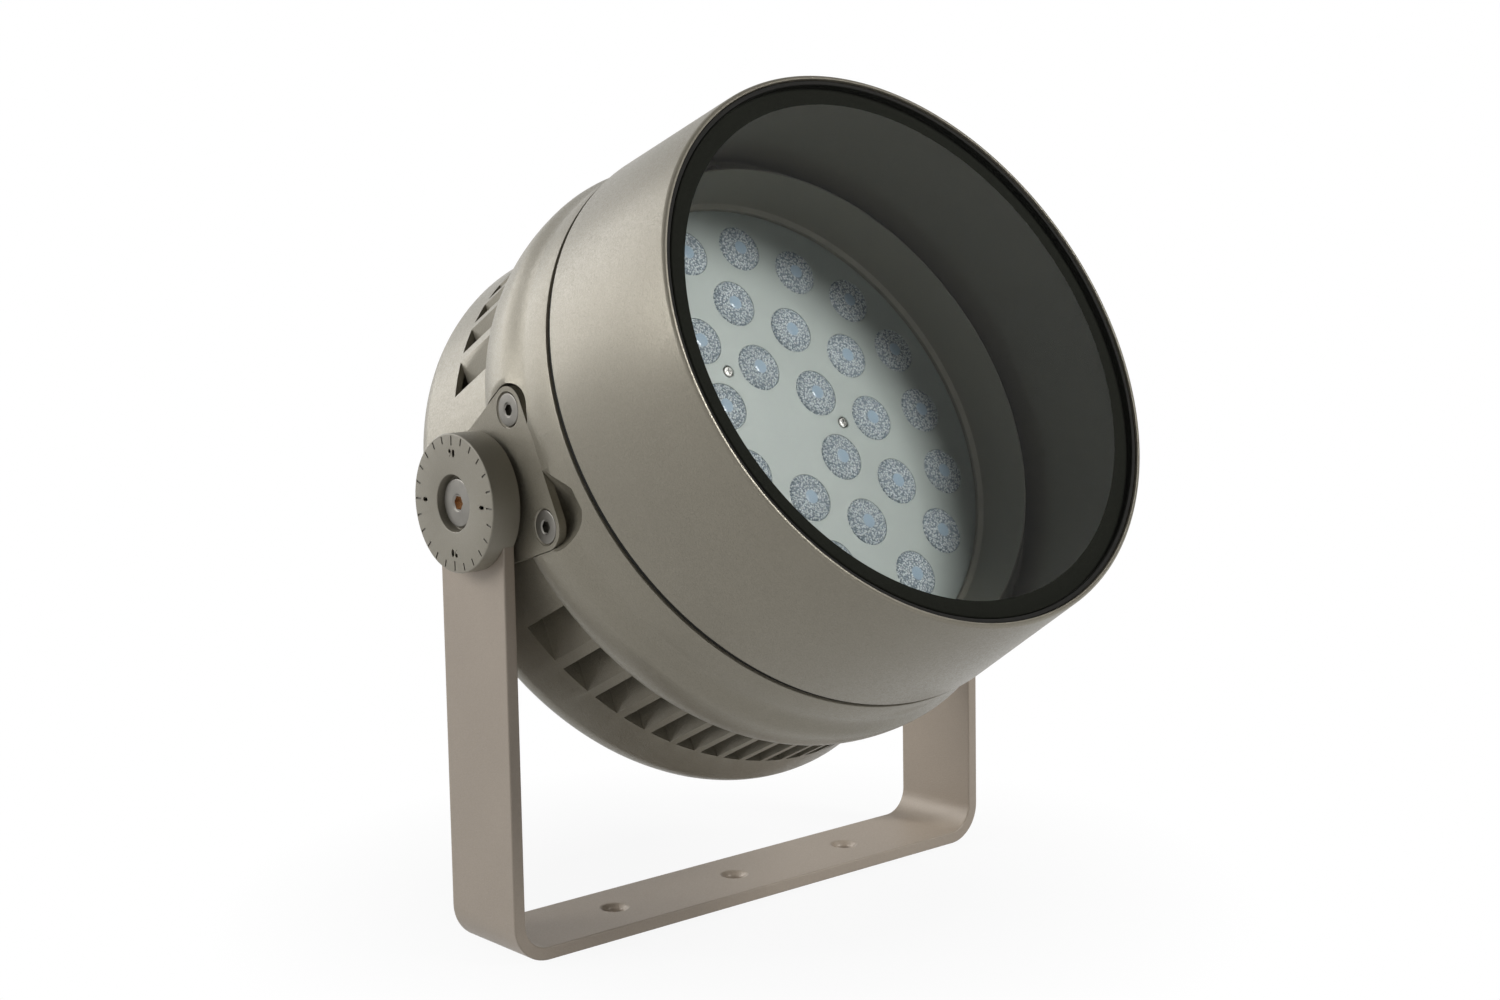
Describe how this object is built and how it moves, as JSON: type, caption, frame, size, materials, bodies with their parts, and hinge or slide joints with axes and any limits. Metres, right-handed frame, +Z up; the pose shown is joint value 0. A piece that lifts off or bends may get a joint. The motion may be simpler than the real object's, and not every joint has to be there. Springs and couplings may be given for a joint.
{
  "type": "led spotlight",
  "caption": "Round cast LED floodlight head tilting in a U-shaped yoke, with vented cooling fins, deep front ring and flat glass.",
  "frame": {"origin": "underside of the yoke's base bar, at the middle fixing hole", "axes": "+Z up, +X along the yoke's base bar to the lamp's left as seen from in front, the lamp shines towards -Y and 27.5 degrees up"},
  "size_m": [0.321, 0.3048, 0.3978],
  "materials": {
    "yoke_paint": "satin metallic warm grey paint on steel",
    "cast_paint": "fine textured metallic warm grey paint on die-cast aluminium",
    "cap_paint": "satin warm grey paint with engraved degree scale",
    "collar_paint": "matt warm grey",
    "clear_glass": "toughened flat glass with a black printed border",
    "black_rubber": "matt black silicone rubber",
    "bright_steel": "plain stainless steel",
    "led_plate_paint": "pale grey-green satin",
    "lens_plastic": "clear moulded acrylic with a pebbled face",
    "circuit_board": "white solder mask on aluminium",
    "driver_case": "potted driver in a black case",
    "terminal_plastic": "ivory polyamide",
    "pan_aluminium": "plain pressed aluminium",
    "gland_brass": "nickel-plated brass"
  },
  "bodies": {
    "yoke": {"yoke_bracket": "yoke_paint", "goniometer_left": "cap_paint", "goniometer_right": "cap_paint", "friction_washer_left": "black_rubber", "friction_washer_right": "black_rubber"},
    "head": {"rear_housing": "cast_paint", "front_ring": "cast_paint", "seam_gasket": "black_rubber", "ring_screw_1": "bright_steel", "ring_screw_2": "bright_steel", "ring_screw_3": "bright_steel", "ring_screw_4": "bright_steel", "ring_screw_5": "bright_steel", "ring_screw_6": "bright_steel", "front_glass": "clear_glass", "glass_gasket": "black_rubber", "collar": "collar_paint", "led_plate": "led_plate_paint", "plate_screw_1": "bright_steel", "plate_screw_2": "bright_steel", "plate_screw_3": "bright_steel", "lens_array": "lens_plastic", "led_board": "circuit_board", "trunnion_left": "cast_paint", "trunnion_right": "cast_paint", "trunnion_screw_left_1": "bright_steel", "trunnion_screw_left_2": "bright_steel", "trunnion_screw_left_3": "bright_steel", "trunnion_screw_right_1": "bright_steel", "trunnion_screw_right_2": "bright_steel", "trunnion_screw_right_3": "bright_steel", "pivot_bolt_left": "bright_steel", "pivot_bolt_right": "bright_steel", "driver_pan": "pan_aluminium", "driver_gasket": "black_rubber", "driver": "driver_case", "terminal_block": "terminal_plastic", "feed_grommet": "black_rubber", "rear_gasket": "black_rubber", "rear_cover": "cast_paint", "cover_screw_1": "bright_steel", "cover_screw_2": "bright_steel", "cover_screw_3": "bright_steel", "cover_screw_4": "bright_steel", "cover_screw_5": "bright_steel", "cover_screw_6": "bright_steel", "gland_body": "gland_brass", "gland_locknut": "gland_brass", "gland_cap": "gland_brass", "gland_plug": "black_rubber", "vent_plug": "black_rubber"}
  },
  "joints": [
    {"name": "head_tilt", "type": "hinge", "parent": "yoke", "child": "head", "pos_m": [0, 0, 0.21], "axis": [-1, 0, 0], "range_deg": [-117.5, 62.5]}
  ]
}
